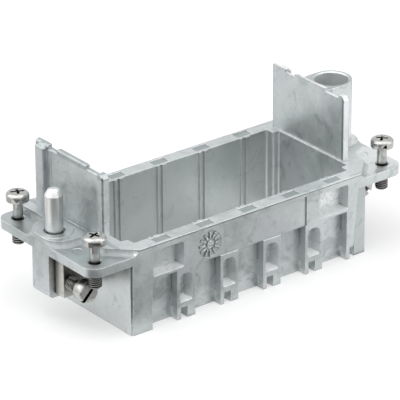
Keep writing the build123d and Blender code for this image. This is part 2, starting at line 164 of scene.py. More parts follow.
class Graph:
    """A procedural material in the making: short calls that add and join nodes."""

    def __init__(self, name: str) -> None:
        """Start an empty surface material.

        Args:
            name: Name of the new material.
        """
        self.material = bpy.data.materials.new(name)
        self.material.use_nodes = True
        self.tree = self.material.node_tree
        self.tree.nodes.clear()
        self.output = self.tree.nodes.new("ShaderNodeOutputMaterial")
        self.shader = self.tree.nodes.new("ShaderNodeBsdfPrincipled")
        self.tree.links.new(self.shader.outputs["BSDF"], self.output.inputs["Surface"])
        self.place = self.tree.nodes.new("ShaderNodeTexCoord").outputs["Object"]

    def join(self, source: Socket, target: Socket) -> None:
        """Link two sockets."""
        self.tree.links.new(source, target)

    def feed(self, socket: Socket, value: object) -> None:
        """Link a socket to another socket, or set it to a plain value."""
        if isinstance(value, Socket):
            self.join(value, socket)
        else:
            socket.default_value = value

    def stretched(self, scale: Triple) -> Socket:
        """Object coordinates with their own scale along each axis."""
        node = self.tree.nodes.new("ShaderNodeMapping")
        node.inputs["Scale"].default_value = scale
        self.join(self.place, node.inputs["Vector"])
        return node.outputs["Vector"]

    def noise(self, grain: Grain) -> Socket:
        """Smooth noise, as a value from 0 to 1."""
        node = self.tree.nodes.new("ShaderNodeTexNoise")
        place = self.stretched(grain.stretch) if grain.stretch else self.place
        self.join(place, node.inputs["Vector"])
        node.inputs["Scale"].default_value = 1 / (grain.size * MM)
        node.inputs["Detail"].default_value = grain.detail
        node.inputs["Roughness"].default_value = grain.rough
        node.inputs["Distortion"].default_value = grain.bend
        return node.outputs["Fac"]

    def spread(self, value: Socket, low: float, high: float, at_low: float, at_high: float) -> Socket:
        """Map a range of a value smoothly to another range."""
        node = self.tree.nodes.new("ShaderNodeMapRange")
        node.interpolation_type = "SMOOTHSTEP"
        self.join(value, node.inputs["Value"])
        names = ("From Min", "From Max", "To Min", "To Max")
        for name, number in zip(names, (low, high, at_low, at_high)):
            node.inputs[name].default_value = number
        return node.outputs["Result"]

    def calc(self, kind: str, first: object, second: object) -> Socket:
        """Join two values by a named operation, such as ADD or MULTIPLY."""
        node = self.tree.nodes.new("ShaderNodeMath")
        node.operation = kind
        self.feed(node.inputs[0], first)
        self.feed(node.inputs[1], second)
        return node.outputs["Value"]

    def product(self, first: Socket, *others: object) -> Socket:
        """Multiply values together."""
        for other in others:
            first = self.calc("MULTIPLY", first, other)
        return first

    def tint(self, kind: str, amount: object, under: object, over: object) -> Socket:
        """Blend two colours.

        Args:
            kind: Blend type, such as MIX or MULTIPLY.
            amount: How much of the second colour, a number or a socket.
            under: The first colour, as RGBA or a socket.
            over: The second colour, as RGBA or a socket.

        Returns:
            The blended colour's socket.
        """
        node = self.tree.nodes.new("ShaderNodeMix")
        node.data_type = "RGBA"
        node.blend_type = kind
        self.feed(node.inputs[0], amount)
        self.feed(node.inputs[6], under)
        self.feed(node.inputs[7], over)
        return node.outputs[2]

    def grey(self, value: Socket) -> Socket:
        """Turn a value into a grey colour."""
        node = self.tree.nodes.new("ShaderNodeCombineColor")
        for channel in ("Red", "Green", "Blue"):
            self.join(value, node.inputs[channel])
        return node.outputs["Color"]

    def rounded_normal(self, radius: float) -> Socket:
        """Normal of the surface with its edges rounded by a radius in millimetres."""
        node = self.tree.nodes.new("ShaderNodeBevel")
        node.samples = SURFACE_SAMPLES
        node.inputs["Radius"].default_value = radius * MM
        return node.outputs["Normal"]

    def edge_mask(self, radius: float) -> Socket:
        """How close the surface is to an edge: 0 on flats, near 1 on sharp edges."""
        plain = self.tree.nodes.new("ShaderNodeNewGeometry")
        dot = self.tree.nodes.new("ShaderNodeVectorMath")
        dot.operation = "DOT_PRODUCT"
        self.join(self.rounded_normal(radius), dot.inputs[0])
        self.join(plain.outputs["Normal"], dot.inputs[1])
        return self.spread(dot.outputs["Value"], *EDGE_COSINES, 0.0, 1.0)

    def openness(self, distance: float) -> Socket:
        """How open the surface is within a distance: 1 in the open, lower in corners and pockets."""
        node = self.tree.nodes.new("ShaderNodeAmbientOcclusion")
        node.samples = SURFACE_SAMPLES
        node.inputs["Distance"].default_value = distance * MM
        return node.outputs["AO"]

    def along(self, axis: str, mirrored: bool = False) -> Socket:
        """Place along an axis in metres, or its distance from the middle plane if mirrored."""
        split = self.tree.nodes.new("ShaderNodeSeparateXYZ")
        self.join(self.place, split.inputs["Vector"])
        return self.calc("ABSOLUTE", split.outputs[axis], 0.0) if mirrored else split.outputs[axis]

    def band(self, axis: str, low: float, high: float, mirrored: bool = False) -> Socket:
        """Mask of a slice of the object.

        Args:
            axis: Axis that the slice is cut across, such as Z.
            low: Where it starts, in millimetres.
            high: Where it ends.
            mirrored: Whether the slice is on both sides of the middle plane.

        Returns:
            Its value socket: 1 inside, 0 outside.
        """
        place = self.along(axis, mirrored)
        above = self.calc("GREATER_THAN", place, low * MM)
        return self.calc("MULTIPLY", above, self.calc("LESS_THAN", place, high * MM))

    def upward_mask(self) -> Socket:
        """1 on surfaces that face up or nearly so, and 0 on upright ones."""
        surface = self.tree.nodes.new("ShaderNodeNewGeometry")
        split = self.tree.nodes.new("ShaderNodeSeparateXYZ")
        self.join(surface.outputs["Normal"], split.inputs["Vector"])
        return self.spread(split.outputs["Z"], *UPWARD_COSINES, 0.0, 1.0)

    def column_mask(self, x: float, y: float, radius: float) -> Socket:
        """1 inside an upright cylinder given in millimetres, and 0 outside it."""
        gap = self.tree.nodes.new("ShaderNodeVectorMath")
        gap.operation = "DISTANCE"
        self.join(self.stretched((1.0, 1.0, 0.0)), gap.inputs[0])
        gap.inputs[1].default_value = (x * MM, y * MM, 0.0)
        return self.calc("LESS_THAN", gap.outputs["Value"], radius * MM)

    def relief(self, height: Socket, depth: float, strength: float, round_edges: float) -> None:
        """Turn a height into the shader's normal.

        Args:
            height: Value socket, from 0 to 1.
            depth: Its full height in millimetres.
            strength: How much of it shows.
            round_edges: Radius in millimetres that edges are shaded with.
        """
        bump = self.tree.nodes.new("ShaderNodeBump")
        bump.inputs["Strength"].default_value = strength
        bump.inputs["Distance"].default_value = depth * MM
        self.join(height, bump.inputs["Height"])
        self.join(self.rounded_normal(round_edges), bump.inputs["Normal"])
        self.join(bump.outputs["Normal"], self.shader.inputs["Normal"])

    def finish(self, colour: object, metallic: object, roughness: object) -> Finish:
        """Set the shader's main sockets and return the material."""
        self.feed(self.shader.inputs["Base Color"], colour)
        self.feed(self.shader.inputs["Metallic"], metallic)
        self.feed(self.shader.inputs["Roughness"], roughness)
        return self.material


# Zones of the casting


@dataclass(frozen=True)
class Box:
    """A box of the part in millimetres; a twin span lies on both sides of the middle plane."""

    x: Span | None = None
    y: Span | None = None
    z: Span | None = None
    twin_x: bool = False
    twin_y: bool = False

    def masks(self, graph: Graph) -> list[Socket]:
        """One mask for each span that is given."""
        spans = (("X", self.x, self.twin_x), ("Y", self.y, self.twin_y), ("Z", self.z, False))
        return [graph.band(axis, *span, twin) for axis, span, twin in spans if span]


@dataclass(frozen=True)
class Fade:
    """A smooth change of a mask from one value to another over a range of a field."""

    field: Field
    low: float
    high: float
    at_low: float
    at_high: float
    reach: float = 0.0

    def mask(self, graph: Graph, fields: dict[Field, Socket]) -> Socket:
        """Make the fade.

        Args:
            graph: Material that it is for.
            fields: The fields that are made already.

        Returns:
            Its value socket.
        """
        low, high = self.low, self.high
        if self.field is Field.OPENNESS:
            value = graph.openness(self.reach)
        elif self.field in fields:
            value = fields[self.field]
        else:
            value = graph.along(self.field.value)
            low, high = low * MM, high * MM
        return graph.spread(value, low, high, self.at_low, self.at_high)


@dataclass(frozen=True)
class Zone:
    """A part of the casting's surface that takes on more of one tone."""

    name: str
    tone: Tone
    amount: float = 1.0
    box: Box = Box()
    column: Triple | None = None
    faces_up: bool | None = None
    edge_reach: float = 0.0
    fades: tuple[Fade, ...] = ()

    def mask(self, graph: Graph, fields: dict[Field, Socket]) -> Socket:
        """Find where the zone is.

        Args:
            graph: Material that it is for.
            fields: The fields that are made already.

        Returns:
            Its value socket: 1 inside, 0 outside.
        """
        parts = self.box.masks(graph)
        if self.column:
            parts.append(graph.column_mask(*self.column))
        if self.faces_up is not None:
            upward = graph.upward_mask()
            parts.append(upward if self.faces_up else graph.calc("SUBTRACT", 1.0, upward))
        if self.edge_reach:
            parts.append(graph.edge_mask(self.edge_reach))
        parts.extend(fade.mask(graph, fields) for fade in self.fades)
        return graph.product(*parts)


BAY = Box((UNDER, 30.5), (UNDER, 15.0), (UNDER, 18.7), twin_x=True, twin_y=True)
BAY_WALLS = Box((UNDER, 30.5), (UNDER, 14.5), (UNDER, 18.7), twin_x=True, twin_y=True)
POCKET_SIDES = Box(y=(14.9, 20.0), z=(6.5, 19.0), twin_y=True)
TOWER = (36.7, 1.3, 5.6)
SOCKET_BORE = (36.7, 1.3, 3.95)

# Later zones lie over earlier ones.
CAST_ZONES = (
    Zone("cold_patches", Tone.VIOLET, fades=(Fade(Field.COLD, 0.5, 0.7, 0.0, 0.35),)),
    Zone("bay_walls", Tone.SMOOTH, 0.55, BAY_WALLS),
    # Rubbed edges, lighter also as a painted highlight, and less so inside the bay.
    Zone("worn_and_highlit_edges", Tone.PALE_WEAR_AND_LIGHT, edge_reach=0.22,
         fades=(Fade(Field.MOTTLE, 0.35, 0.6, 0.25, 1.0), Fade(Field.BAY, 0.0, 1.0, 1.0, 0.2))),
    # Painted shade on the bay's edges, which tones down their highlights.
    Zone("bay_corners", Tone.SKIN, 0.6, BAY, edge_reach=0.3),
    # Painted light that lifts the shade in the bay's grooves and hollows.
    Zone("bay_grooves", Tone.PALE_WEAR_AND_LIGHT, box=BAY, fades=(Fade(Field.OPENNESS, 0.55, 0.9, 0.6, 0.0, 0.8),)),
    Zone("rim_pocket_floors", Tone.SKIN, 0.75, Box(z=(19.15, 19.32)), faces_up=True),
    # Painted light inside the socket's bore.
    Zone("socket_bore", Tone.PAINTED_BORE_LIGHT, box=Box(z=(UNDER, 33.4)), column=SOCKET_BORE),
    Zone("rim_line", Tone.DARK_LINE,
         box=Box((UNDER, 31.6), (16.85, 20.0), (18.98, 19.2), twin_x=True, twin_y=True),
         fades=(Fade(Field.MOTTLE, 0.35, 0.6, 0.45, 0.9),)),
    # Painted light on the upward ledges of the slots and pockets, where light falls; the corner shade
    # spares them.
    Zone("ledge", Tone.PAINTED_LIGHT_AND_GRIT, box=Box(y=(14.9, 17.05), z=(2.9, 16.5), twin_y=True), faces_up=True,
         fades=(Fade(Field.MOTTLE, 0.3, 0.55, 0.6, 1.0), Fade(Field.Z, 4.0, 8.0, 1.0, 0.85))),
    # Painted light that lifts the shade in the notches at the ribs' feet.
    Zone("notch", Tone.PAINTED_LIGHT_AND_GRIT, 0.9, Box(y=(14.9, 16.95), z=(UNDER, 2.72), twin_y=True),
         fades=(Fade(Field.OPENNESS, 0.6, 0.85, 1.0, 0.0, 1.8),)),
    # Painted highlight on the end walls' front faces, brighter towards the right.
    Zone("wall_front_edge", Tone.PAINTED_LIGHT_AND_GRIT, box=Box(y=(-9.9, -9.6), z=(19.6, 40.0)),
         fades=(Fade(Field.X, -30.0, 30.0, 0.15, 0.7),)),
    # Painted light: lighter towards the right end, fading out upwards.
    Zone("painted_light_right_end", Tone.PALE_WEAR_AND_LIGHT,
         fades=(Fade(Field.X, 15.0, 42.0, 0.0, 0.3), Fade(Field.Z, 22.0, 30.0, 1.0, 0.0))),
    # Painted shade along the socket wall's front corner.
    Zone("socket_wall_arris", Tone.SKIN, 0.9, Box((30.8, 31.2), (-9.6, -9.0), (19.6, 40.0))),
    Zone("socket_wall_top_line", Tone.DARK_LINE, box=Box((30.7, 31.08), z=(33.0, 34.6)), faces_up=False,
         edge_reach=0.4),
    Zone("socket_wall_back_line", Tone.DARK_LINE, box=Box((30.7, 31.08), (13.9, 14.5), (UNDER, 33.0)),
         faces_up=False, edge_reach=0.4),
    # Painted light on the socket wall's top.
    Zone("socket_wall_top", Tone.PAINTED_LIGHT_AND_GRIT, 0.7, Box((31.0, 32.4), z=(33.2, 34.6)), faces_up=True),
    Zone("socket_wall_back", Tone.SKIN, box=Box((30.7, 31.4), z=(19.6, 40.0)),
         fades=(Fade(Field.Y, 0.0, 12.0, 0.0, 0.2),)),
    Zone("pin_wall_top", Tone.SKIN, box=Box((-36.0, -31.5), z=(33.2, 34.6)),
         fades=(Fade(Field.MOTTLE, 0.35, 0.6, 0.3, 0.6),)),
    # Painted shade at the pin wall's foot by the rim.
    Zone("pin_wall_foot", Tone.SKIN, 0.5, Box((-33.7, -32.6), z=(19.3, 19.9))),
    # Painted light on the socket tower's sides, and painted shade on its upward ring to tone down its
    # highlight.
    Zone("tower_foot", Tone.PAINTED_LIGHT_AND_GRIT, 0.3, Box(z=(19.3, 30.0)), column=TOWER),
    Zone("tower_head", Tone.PAINTED_LIGHT_AND_GRIT, 0.3, Box(z=(30.0, 40.0)), column=TOWER, faces_up=False),
    Zone("tower_ring", Tone.SKIN, 0.3, Box(z=(30.0, 40.0)), column=TOWER, faces_up=True),
    # Painted light on the left end face, which faces the lamps.
    Zone("end_face", Tone.PAINTED_LIGHT_AND_GRIT, 0.35, Box((-32.1, -31.9), z=(UNDER, 16.0))),
    # Painted light on the right flange's top.
    Zone("right_flange", Tone.PAINTED_LIGHT_AND_GRIT, 0.35, Box((33.0, 43.0), z=(13.0, 19.0)), faces_up=True),
    # Painted light on the right pocket's floor, in patches.
    Zone("right_pocket", Tone.PAINTED_LIGHT_AND_GRIT, box=Box((20.0, 30.5), (-15.2, -14.8), (11.5, 18.5)),
         fades=(Fade(Field.MOTTLE, 0.35, 0.6, 0.15, 0.6),)),
    # Painted shade on the left flange's top.
    Zone("left_flange", Tone.SKIN, 0.3, Box((-43.0, -33.0), z=(13.0, 19.0)), faces_up=True),
    # Painted shade on the flange skirts, which tones down their highlight; they also turn nearly diffuse.
    Zone("skirt", Tone.SKIN, 0.25, Box((31.0, 46.0), z=(18.14, 19.36), twin_x=True)),
    Zone("panels", Tone.SKIN, box=Box(y=(14.6, 15.1), z=(UNDER, 11.0), twin_y=True),
         fades=(Fade(Field.STREAKS, 0.5, 0.66, 0.0, 0.4),)),
    # Painted shade in the end rebates, darkest in their corners.
    Zone("end_rebate", Tone.SKIN, box=Box((27.4, 32.1), (16.05, 16.6), twin_y=True),
         fades=(Fade(Field.OPENNESS, 0.5, 0.95, 0.9, 0.3, 1.0),)),
    Zone("under_flange", Tone.SHADOW, box=Box((30.0, 45.0), z=(4.0, 16.5), twin_x=True),
         fades=(Fade(Field.OPENNESS, 0.3, 0.72, 0.85, 0.0, 5.0),)),
    Zone("smudges", Tone.SKIN,
         fades=(Fade(Field.SMUDGES, 0.56, 0.66, 0.0, 0.35), Fade(Field.BAY_WALLS, 0.0, 1.0, 1.0, 0.5))),
)


# Finishes


CAST_GRAINS = {
    Field.CLOUDS: Grain(14.0, 2.0, 0.5, 0.6),
    Field.BLOTCHES: Grain(3.2, 3.0, 0.5, 0.8),
    Field.FLOW: Grain(2.2, 2.0, 0.5, 0.4, (1.0, 1.0, 0.3)),
    Field.SKIN: Grain(0.5, 2.0),
    Field.MOTTLE: Grain(1.1, 3.0, 0.6, 1.2),
    Field.STREAKS: Grain(3.4, 2.0, 0.5, 1.6, (0.7, 1.0, 1.0)),
    Field.SMUDGES: Grain(5.0, 4.0, 0.65, 1.5),
    Field.COLD: Grain(16.0, 2.0, 0.5, 0.3),
}
TONE_WEIGHTS = {Field.CLOUDS: 0.42, Field.BLOTCHES: 0.2, Field.FLOW: 0.12, Field.MOTTLE: 0.26}
ROUGH_WEIGHTS = {Field.BLOTCHES: 0.7, Field.SKIN: 0.3}
RELIEF_WEIGHTS = {Field.SKIN: 0.25, Field.BLOTCHES: 0.75}


def blend(graph: Graph, fields: dict[Field, Socket], weights: dict[Field, float]) -> Socket:
    """Add up fields by their weights."""
    total, *others = (graph.product(fields[field], weight) for field, weight in weights.items())
    for other in others:
        total = graph.calc("ADD", total, other)
    return total


@dataclass(frozen=True)
class CastZinc:
    """Raw die-cast zinc: satin grey with soft flow clouds, cold blotches and brighter edges, with painted
    light and painted shade laid on zone by zone.
    """

    name: str = "cast_zinc"
    specks: float = 0.0
    metallic: float = 0.9
    painted_spot_metallic: float = 0.1
    tone_range: Span = (0.34, 0.62)
    rough_range: Span = (0.3, 0.7)
    smooth_rough: float = 0.3
    blotchy_rough: float = 0.46
    relief_depth: float = 0.08
    relief_strength: float = 0.4
    edge_radius: float = 0.18
    corner_reach: float = 0.6
    corner_range: Span = (0.35, 0.9)
    corner_depth: float = 0.16
    pocket_corner_depth: float = 0.62
    hollow_reach: float = 2.0
    hollow_range: Span = (0.2, 0.95)
    hollow_shade: float = 0.93
    grit: Grain = Grain(0.5, 2.0, 0.6, 1.0)
    pale_grit: Span = (0.54, 0.6)
    dark_grit: Span = (0.4, 0.46)

    def fields(self, graph: Graph) -> dict[Field, Socket]:
        """Make the noises and the bay's masks."""
        fields = {field: graph.noise(grain) for field, grain in CAST_GRAINS.items()}
        fields[Field.BAY] = graph.product(*BAY.masks(graph))
        fields[Field.BAY_WALLS] = graph.product(*BAY_WALLS.masks(graph))
        return fields

    def speckled(self, graph: Graph, colour: Socket) -> Socket:
        """Strew pale and dark grit over a colour."""
        grit = graph.noise(self.grit)
        pale = graph.spread(grit, *self.pale_grit, 0.0, self.specks)
        dark = graph.spread(grit, *self.dark_grit, self.specks, 0.0)
        colour = graph.tint("MIX", pale, colour, Tone.PAINTED_LIGHT_AND_GRIT.value)
        return graph.tint("MIX", dark, colour, Tone.SKIN.value)

    def shaded(self, graph: Graph, colour: Socket, spared: Socket) -> Socket:
        """Darken a colour in corners and hollows.

        Args:
            graph: The material.
            colour: The colour.
            spared: Mask of what stays as it is.

        Returns:
            The darkened colour.
        """
        pockets = graph.product(*POCKET_SIDES.masks(graph))
        depth = graph.spread(pockets, 0.0, 1.0, self.corner_depth, self.pocket_corner_depth)
        corner = graph.spread(graph.openness(self.corner_reach), *self.corner_range, 1.0, 0.0)
        hollow = graph.spread(graph.openness(self.hollow_reach), *self.hollow_range, self.hollow_shade, 1.0)
        shade = graph.product(hollow, graph.calc("SUBTRACT", 1.0, graph.product(corner, depth)))
        return graph.tint("MULTIPLY", 1.0, colour, graph.grey(graph.calc("MAXIMUM", shade, spared)))

    def material(self) -> Finish:
        """Build the material."""
        graph = Graph(self.name)
        fields = self.fields(graph)
        tone = graph.spread(blend(graph, fields, TONE_WEIGHTS), *self.tone_range, 0.0, 1.0)
        colour = graph.tint("MIX", tone, Tone.DARK.value, Tone.LIGHT.value)
        masks = {}
        for zone in CAST_ZONES:
            mask = masks[zone.name] = zone.mask(graph, fields)
            colour = graph.tint("MIX", graph.product(mask, zone.amount), colour, zone.tone.value)
        if self.specks:
            colour = self.speckled(graph, colour)
        colour = self.shaded(graph, colour, masks["ledge"])
        roughness = graph.spread(blend(graph, fields, ROUGH_WEIGHTS), *self.rough_range,
                                 self.smooth_rough, self.blotchy_rough)
        height = blend(graph, fields, RELIEF_WEIGHTS)
        graph.relief(height, self.relief_depth, self.relief_strength, self.edge_radius)
        # Spots of painted light and shade turn nearly diffuse, so that their painted colour shows.
        painted_spots = graph.calc("MAXIMUM", masks["ledge"], masks["notch"])
        painted_spots = graph.calc("MAXIMUM", painted_spots, masks["skirt"])
        metal = graph.spread(painted_spots, 0.0, 1.0, self.metallic, self.painted_spot_metallic)
        return graph.finish(colour, metal, roughness)


@dataclass(frozen=True)
class MachinedMetal:
    """A bright or satin machined metal with fine tool rings, faint smears and painted shade in its corners
    and near close parts.
    """

    name: str
    colour: RGBA
    stain: RGBA
    rough_low: float
    rough_high: float
    smears: Grain = Grain(1.2, 4.0, 0.6, 0.5)
    stain_range: Span = (0.45, 0.75)
    stain_amount: float = 0.8
    rough_range: Span = (0.3, 0.7)
    ring_grain: float = 0.16
    ring_depth: float = 0.004
    ring_strength: float = 0.5
    edge_radius: float = 0.06
    # Painted shade: a near-black colour laid into tight corners and near what stands close by.
    shade_colour: RGBA = (0.035, 0.035, 0.03, 1)
    shade_reach: float = 0.5
    shade_range: Span = (0.46, 0.88)
    shade_amount: float = 0.95
    corner_reach: float = 0.35
    corner_range: Span = (0.35, 0.8)
    corner_shade: float = 0.95
    worn: RGBA = (0.85, 0.85, 0.84, 1)
    worn_reach: float = 0.08
    worn_amount: float = 0.4

    def painted_shade_mask(self, graph: Graph) -> Socket:
        """Where shade is painted: in tight corners and near what stands close by."""
        corner = graph.spread(graph.openness(self.corner_reach), *self.corner_range, self.corner_shade, 0.0)
        near = graph.spread(graph.openness(self.shade_reach), *self.shade_range, self.shade_amount, 0.0)
        return graph.calc("MAXIMUM", corner, near)

    def material(self) -> Finish:
        """Build the material."""
        graph = Graph(self.name)
        smear = graph.noise(self.smears)
        rings = graph.noise(Grain(self.ring_grain, 2.0, stretch=(0.08, 0.08, 1.0)))
        stain = graph.spread(smear, *self.stain_range, 0.0, self.stain_amount)
        colour = graph.tint("MIX", stain, self.colour, self.stain)
        worn = graph.product(graph.edge_mask(self.worn_reach), self.worn_amount)
        colour = graph.tint("MIX", worn, colour, self.worn)
        # Painted shade in corners and near close parts.
        colour = graph.tint("MIX", self.painted_shade_mask(graph), colour, self.shade_colour)
        roughness = graph.spread(smear, *self.rough_range, self.rough_low, self.rough_high)
        graph.relief(rings, self.ring_depth, self.ring_strength, self.edge_radius)
        return graph.finish(colour, 1.0, roughness)


# The screws' longer shade reach paints a dark band on the neck under the head.
BRIGHT_PLATE = MachinedMetal("bright_plate", (0.48, 0.48, 0.465, 1), (0.34, 0.34, 0.33, 1), 0.10, 0.2,
                             shade_reach=1.6, corner_shade=0.7)
TURNED_STEEL = MachinedMetal("turned_steel", (0.72, 0.73, 0.72, 1), (0.62, 0.63, 0.63, 1), 0.34, 0.4,
                             ring_grain=0.22, ring_depth=0.003)
NICKEL_PLATE = MachinedMetal("nickel_plate", (0.52, 0.52, 0.50, 1), (0.32, 0.32, 0.31, 1), 0.2, 0.34,
                             shade_reach=2.5)
# The terminals' long shade reach paints the flange's shadow over their faces, darkest at the top.
TERMINAL_PLATE = MachinedMetal("terminal_plate", (0.62, 0.61, 0.56, 1), (0.48, 0.47, 0.43, 1), 0.3, 0.42,
                               shade_reach=8.0)
ROUGH_ZINC = CastZinc(name="rough_zinc", specks=0.8)


# Mesh helpers


def to_object(name: str, bm: Mesh, material: Finish | None = None) -> Piece:
    """Turn a bmesh in metres into a linked object at the origin, shaded smooth.

    Args:
        name: Name of the piece.
        bm: The mesh, which is freed.
        material: Its finish, if it has one yet.

    Returns:
        The new object.
    """
    for face in bm.faces:
        face.smooth = True
    mesh = bpy.data.meshes.new(name)
    bm.to_mesh(mesh)
    bm.free()
    piece = bpy.data.objects.new(name, mesh)
    bpy.context.scene.collection.objects.link(piece)
    if material:
        mesh.materials.append(material)
    return piece


def to_bmesh(piece: Piece) -> Mesh:
    """Turn an object back into a bmesh, and delete it."""
    bm = bmesh.new()
    bm.from_mesh(piece.data)
    bpy.data.objects.remove(piece)
    return bm


def flat_patches(bm: Mesh, limit: float = 0.4) -> tuple[list[int], list[float]]:
    """Find the flat patches of a mesh.

    Args:
        bm: The mesh, with its faces numbered.
        limit: Largest angle inside a patch, in degrees.

    Returns:
        The patch number of every face, and the area of every patch.
    """
    widest = math.radians(limit)
    patch_of = [-1] * len(bm.faces)
    areas = []
    for start in bm.faces:
        if patch_of[start.index] >= 0:
            continue
        patch_of[start.index] = len(areas)
        patch = [start]
        for face in patch:
            for other in (other for edge in face.edges for other in edge.link_faces):
                if patch_of[other.index] < 0 and start.normal.angle(other.normal, 0.0) < widest:
                    patch_of[other.index] = len(areas)
                    patch.append(other)
        areas.append(sum(face.calc_area() for face in patch))
    return patch_of, areas


def smooth_fans(vert: bmesh.types.BMVert, crease: float) -> list[list[bmesh.types.BMFace]]:
    """Sort the faces round a vertex into fans that no sharp edge parts.

    Args:
        vert: The vertex.
        crease: Angle in degrees from which an edge is sharp.

    Returns:
        The faces of each fan.
    """
    left = set(vert.link_faces)
    fans = []
    for start in vert.link_faces:
        if start not in left:
            continue
        left.remove(start)
        fan = [start]
        for face in fan:
            for edge in face.edges:
                if vert in edge.verts and edge.calc_face_angle(math.pi) < math.radians(crease):
                    joined = [other for other in edge.link_faces if other in left]
                    left.difference_update(joined)
                    fan.extend(joined)
        fans.append(fan)
    return fans


def even_shading(piece: Piece, crease: float) -> None:
    """Shade a piece smooth, with its large flat faces setting the normals at their edges.

    Args:
        piece: The piece.
        crease: Angle in degrees from which an edge stays sharp.
    """
    bm = bmesh.new()
    bm.from_mesh(piece.data)
    patch_of, areas = flat_patches(bm)
    normals = {}
    for vert in bm.verts:
        for fan in smooth_fans(vert, crease):
            patches = {patch_of[face.index]: face.normal for face in fan}
            mean = sum((normal * areas[patch] ** 2 for patch, normal in patches.items()), Vector())
            for face in fan:
                normals[vert.index, face.index] = mean.normalized() if mean.length else face.normal.copy()
    by_corner = [normals[loop.vert.index, face.index] for face in bm.faces for loop in face.loops]
    bm.free()
    piece.data.normals_split_custom_set(by_corner)


def shade_by_angle(piece: Piece, angle: float) -> None:
    """Shade a mesh smooth, except across edges sharper than an angle in degrees."""
    piece.data.shade_smooth()
    piece.data.set_sharp_from_angle(angle=math.radians(angle))


def soften(bm: Mesh, width: float, angle: float, segments: int = 2) -> None:
    """Round every edge sharper than an angle.

    Args:
        bm: The mesh, in metres.
        width: Width of the rounding in millimetres.
        angle: Smallest face angle that is rounded, in degrees.
        segments: Faces across each rounding.
    """
    limit = math.radians(angle)
    sharp = [edge for edge in bm.edges if edge.is_manifold and edge.calc_face_angle() > limit]
    bmesh.ops.bevel(bm, geom=sharp, offset=width * MM, offset_type="OFFSET", segments=segments,
                    profile=0.5, affect="EDGES", clamp_overlap=True, material=-1)


def block(x: float, y: float, z: float) -> Mesh:
    """A block round the origin, from its three sizes in millimetres."""
    bm = bmesh.new()
    bmesh.ops.create_cube(bm, size=1)
    bmesh.ops.scale(bm, vec=Vector((x, y, z)) * MM, verts=bm.verts)
    return bm


def shift(bm: Mesh, x: float, y: float, z: float) -> None:
    """Move a mesh by a way given in millimetres."""
    bmesh.ops.translate(bm, vec=Vector((x, y, z)) * MM, verts=bm.verts)


def rotate(bm: Mesh, angle: float, axis: str = "Z") -> None:
    """Turn a mesh about an axis through the origin, by an angle in radians."""
    bmesh.ops.rotate(bm, cent=(0, 0, 0), matrix=Matrix.Rotation(angle, 3, axis), verts=bm.verts)


def wire(bm: Mesh, outline: list[Span]) -> list:
    """Draw an open outline of radii and heights in millimetres, and return its points and edges."""
    points = [bm.verts.new((radius * MM, 0, height * MM)) for radius, height in outline]
    return points + [bm.edges.new(pair) for pair in zip(points, points[1:])]


def lathe(outline: list[Span], steps: int) -> Mesh:
    """Turn an outline round the Z axis.

    Args:
        outline: Radius and height of each point in millimetres, from one end to the other.
        steps: Faces round the turn.

    Returns:
        The closed mesh in metres, with outward faces.
    """
    bm = bmesh.new()
    bmesh.ops.spin(bm, geom=wire(bm, outline), cent=(0, 0, 0), axis=(0, 0, 1), angle=FULL_TURN,
                   steps=steps, use_merge=True)
    bmesh.ops.remove_doubles(bm, verts=bm.verts, dist=CUT_GAP)
    bmesh.ops.recalc_face_normals(bm, faces=bm.faces)
    return bm


def thread(core: float, crest: float, pitch: float, low: float, high: float, steps: int = 24) -> Mesh:
    """Wind a screw thread round the Z axis between two levels.

    Args:
        core: Radius at the root of the thread, in millimetres.
        crest: Radius at its crest.
        pitch: Rise of one turn.
        low: Lower end.
        high: Upper end.
        steps: Faces round one turn.

    Returns:
        The closed mesh in metres, with outward faces.
    """
    bm = bmesh.new()
    start = low - 1.5 * pitch
    turns = math.ceil((high - low) / pitch) + 3
    outline = [(crest if raised else core, start + pitch * part) for part, raised in THREAD_PROFILE]
    bmesh.ops.spin(bm, geom=wire(bm, outline), cent=(0, 0, 0), axis=(0, 0, 1),
                   dvec=(0, 0, pitch * MM / steps), angle=FULL_TURN * turns, steps=steps * turns,
                   use_merge=False)
    bmesh.ops.remove_doubles(bm, verts=bm.verts, dist=MERGE_GAP)
    for level, outer in ((low, -1), (high, 1)):
        geom = bm.verts[:] + bm.edges[:] + bm.faces[:]
        bmesh.ops.bisect_plane(bm, geom=geom, dist=CUT_GAP, plane_co=(0, 0, level * MM),
                               plane_no=(0, 0, outer), clear_outer=True)
        rim = [edge for edge in bm.edges if edge.is_boundary
               and all(abs(vert.co.z - level * MM) < LEVEL_GAP for vert in edge.verts)]
        bmesh.ops.contextual_create(bm, geom=rim)
    bmesh.ops.recalc_face_normals(bm, faces=bm.faces)
    return bm


def taper_end(bm: Mesh, end: float, radius: float, inward: int) -> None:
    """Bring the end of a thread in to a smaller radius at 45 degrees.

    Args:
        bm: The thread, in metres.
        end: Level of its end in millimetres.
        radius: Radius at that end.
        inward: 1 if the thread runs up from the end, -1 if down.
    """
    for vert in bm.verts:
        allowed = radius * MM + max(0.0, inward * (vert.co.z - end * MM))
        reach = math.hypot(vert.co.x, vert.co.y)
        if reach > allowed:
            vert.co.x *= allowed / reach
            vert.co.y *= allowed / reach


def carve(piece: Piece, cutters: list[Piece]) -> None:
    """Cut shapes out of a piece for good, and delete them."""
    for cutter in cutters:
        cut = piece.modifiers.new("cut", "BOOLEAN")
        cut.operation = "DIFFERENCE"
        cut.solver = "EXACT"
        cut.object = cutter
    graph = bpy.context.evaluated_depsgraph_get()
    carved = bpy.data.meshes.new_from_object(piece.evaluated_get(graph))
    piece.modifiers.clear()
    plain = piece.data
    piece.data = carved
    bpy.data.meshes.remove(plain)
    for cutter in cutters:
        bpy.data.objects.remove(cutter)


